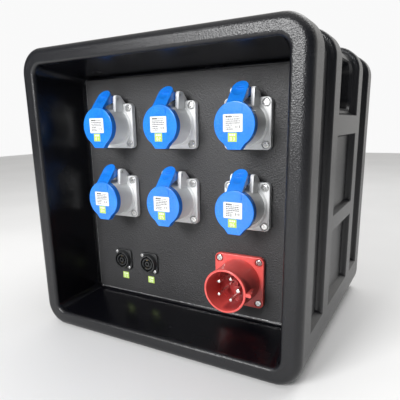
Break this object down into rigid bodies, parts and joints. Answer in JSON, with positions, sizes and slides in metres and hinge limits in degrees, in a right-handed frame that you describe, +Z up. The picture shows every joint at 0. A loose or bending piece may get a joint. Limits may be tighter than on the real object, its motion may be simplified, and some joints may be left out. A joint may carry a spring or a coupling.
{
  "type": "portable power distribution box",
  "caption": "Portable power distribution box: black moulded case with a recessed panel of lidded sockets, a five-pin inlet and round link connectors.",
  "frame": {"origin": "centre of the flat base", "axes": "X to the right, Y from the open front to the back, Z up"},
  "size_m": [0.427, 0.394, 0.425],
  "materials": {
    "case": "pebbled moulded polyethylene",
    "panel": "fine textured powder coat",
    "housing": "satin moulded plastic",
    "insert": "satin moulded plastic",
    "lid": "glossy moulded plastic",
    "label": "printed film",
    "tag": "printed film",
    "inlet": "satin moulded plastic",
    "pin": "nickel plated",
    "screw": "zinc plated",
    "link": "moulded plastic",
    "gasket": "soft",
    "steel": "zinc plated",
    "brass": "machined",
    "terminal": "moulded plastic",
    "earth_terminal": "moulded plastic",
    "cable": "matt sheath",
    "wire": "insulation"
  },
  "bodies": {
    "box": {"case_body": "case", "earth_terminals": "earth_terminal", "end_stops": "terminal", "feed_wires": "wire", "fixture_nuts": "steel", "flange_gaskets": "gasket", "front_panel": "panel", "hinge_pins": "steel", "hinge_springs": "steel", "inlet_housing": "inlet", "inlet_insert": "inlet", "inlet_pins": "pin", "inlet_screws": "screw", "link_contacts": "brass", "link_cores": "link", "link_screws": "screw", "link_shells": "link", "link_tags": "tag", "mounting_rail": "steel", "outlet_cables": "cable", "panel_nuts": "steel", "panel_studs": "steel", "rail_brackets": "steel", "rail_screws": "screw", "rear_inserts": "brass", "rear_panel": "panel", "rear_panel_screws": "screw", "socket_contacts": "brass", "socket_housing_1": "housing", "socket_housing_2": "housing", "socket_housing_3": "housing", "socket_housing_4": "housing", "socket_housing_5": "housing", "socket_housing_6": "housing", "socket_insert_1": "insert", "socket_insert_2": "insert", "socket_insert_3": "insert", "socket_insert_4": "insert", "socket_insert_5": "insert", "socket_insert_6": "insert", "socket_screws": "screw", "terminals": "terminal"},
    "lid_1_body": {"lid_1": "lid", "lid_seal_1": "gasket", "lid_labels_1": "label"},
    "lid_2_body": {"lid_2": "lid", "lid_seal_2": "gasket", "lid_labels_2": "label"},
    "lid_3_body": {"lid_3": "lid", "lid_seal_3": "gasket", "lid_labels_3": "label"},
    "lid_4_body": {"lid_4": "lid", "lid_seal_4": "gasket", "lid_labels_4": "label"},
    "lid_5_body": {"lid_5": "lid", "lid_seal_5": "gasket", "lid_labels_5": "label"},
    "lid_6_body": {"lid_6": "lid", "lid_seal_6": "gasket", "lid_labels_6": "label"}
  },
  "joints": [
    {"name": "lid_1_hinge", "type": "hinge", "parent": "box", "child": "lid_1_body", "pos_m": [-0.1085, -0.1285, 0.3545], "axis": [-1, 0, 0], "range_deg": [0, 95], "stiffness_Nm_per_rad": 0.03, "springref_deg": -17.19},
    {"name": "lid_2_hinge", "type": "hinge", "parent": "box", "child": "lid_2_body", "pos_m": [0.0005, -0.1285, 0.3545], "axis": [-1, 0, 0], "range_deg": [0, 95], "stiffness_Nm_per_rad": 0.03, "springref_deg": -17.19},
    {"name": "lid_3_hinge", "type": "hinge", "parent": "box", "child": "lid_3_body", "pos_m": [0.1095, -0.1285, 0.3545], "axis": [-1, 0, 0], "range_deg": [0, 95], "stiffness_Nm_per_rad": 0.03, "springref_deg": -17.19},
    {"name": "lid_4_hinge", "type": "hinge", "parent": "box", "child": "lid_4_body", "pos_m": [-0.1085, -0.1285, 0.2465], "axis": [-1, 0, 0], "range_deg": [0, 95], "stiffness_Nm_per_rad": 0.03, "springref_deg": -17.19},
    {"name": "lid_5_hinge", "type": "hinge", "parent": "box", "child": "lid_5_body", "pos_m": [0.0005, -0.1285, 0.2465], "axis": [-1, 0, 0], "range_deg": [0, 95], "stiffness_Nm_per_rad": 0.03, "springref_deg": -17.19},
    {"name": "lid_6_hinge", "type": "hinge", "parent": "box", "child": "lid_6_body", "pos_m": [0.1095, -0.1285, 0.2465], "axis": [-1, 0, 0], "range_deg": [0, 95], "stiffness_Nm_per_rad": 0.03, "springref_deg": -17.19}
  ]
}
